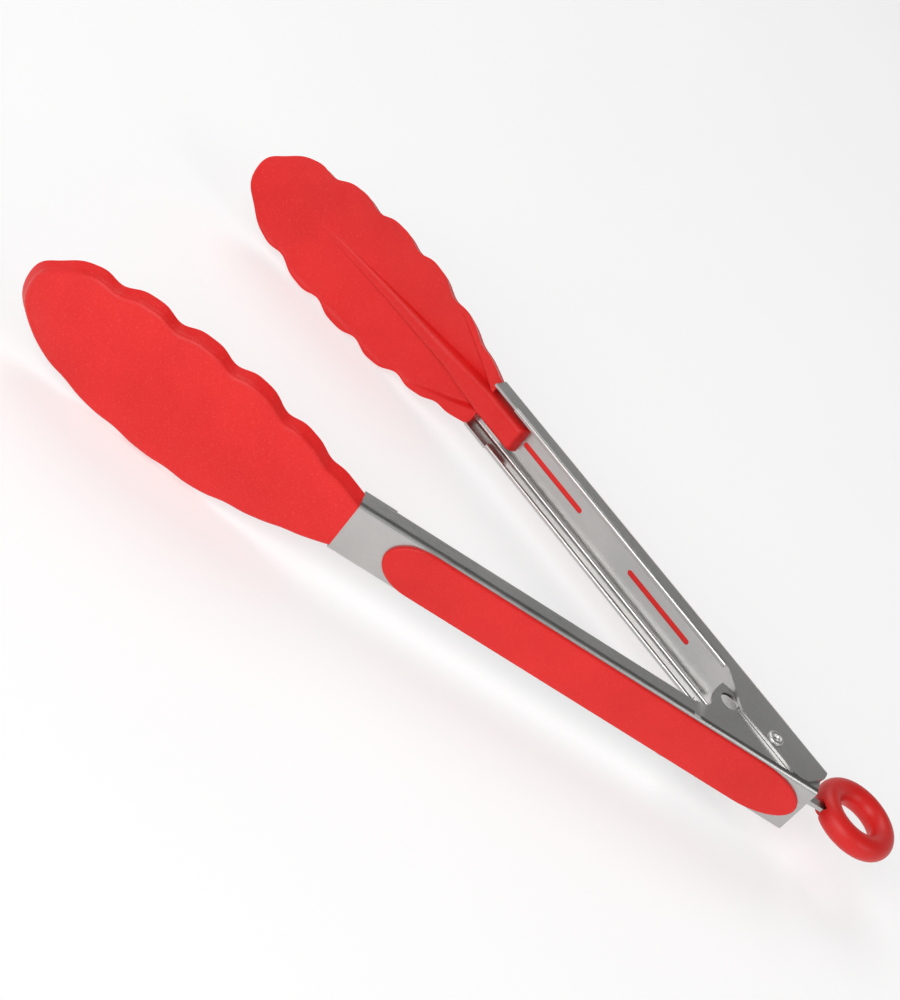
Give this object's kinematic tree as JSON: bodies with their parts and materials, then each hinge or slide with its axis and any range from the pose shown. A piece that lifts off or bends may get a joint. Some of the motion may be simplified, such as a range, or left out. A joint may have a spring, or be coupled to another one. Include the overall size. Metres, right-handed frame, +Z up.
{
  "type": "spring loaded kitchen tongs",
  "caption": "Hand tongs: two sprung channel arms on one rivet, with scalloped silicone scoop heads, soft grips and a ring-pull lock.",
  "frame": {"origin": "on the surface under the middle of the open tongs, which lie on their side", "axes": "+Z up along the rivet, -X towards the heads, +X towards the hanging ring, near arm on -Y"},
  "size_m": [0.2463, 0.119, 0.0372],
  "materials": {
    "steel": "satin",
    "silicone": "satin",
    "nylon": "satin",
    "bush_plastic": "matte"
  },
  "bodies": {
    "near_arm": {"near_arm_channel": "steel", "near_grip": "silicone", "near_head_core": "nylon", "near_head_skin": "silicone", "pivot_bush": "bush_plastic", "torsion_spring": "steel"},
    "far_arm": {"far_arm_channel": "steel", "far_grip": "silicone", "far_head_core": "nylon", "far_head_skin": "silicone", "pivot_rivet": "steel"},
    "lock": {"lock_plate": "steel"},
    "ring": {"hang_ring": "nylon", "ring_pin": "steel"}
  },
  "joints": [
    {"name": "arm_close", "type": "hinge", "parent": "near_arm", "child": "far_arm", "pos_m": [0.08127, 0, 0.0186], "axis": [0, 0, 1], "range_deg": [0, 30], "stiffness_Nm_per_rad": 0.25, "springref_deg": -28.65, "deforming": ["torsion_spring"]},
    {"name": "lock_pull", "type": "slide", "parent": "near_arm", "child": "lock", "axis": [0.9523, 0.305, 0], "range_m": [0, 0.006]},
    {"name": "ring_swing", "type": "hinge", "parent": "lock", "child": "ring", "pos_m": [0.10346, 0.00711, 0.0174], "axis": [0.305, -0.9523, 0], "range_deg": [-40, 8]}
  ]
}
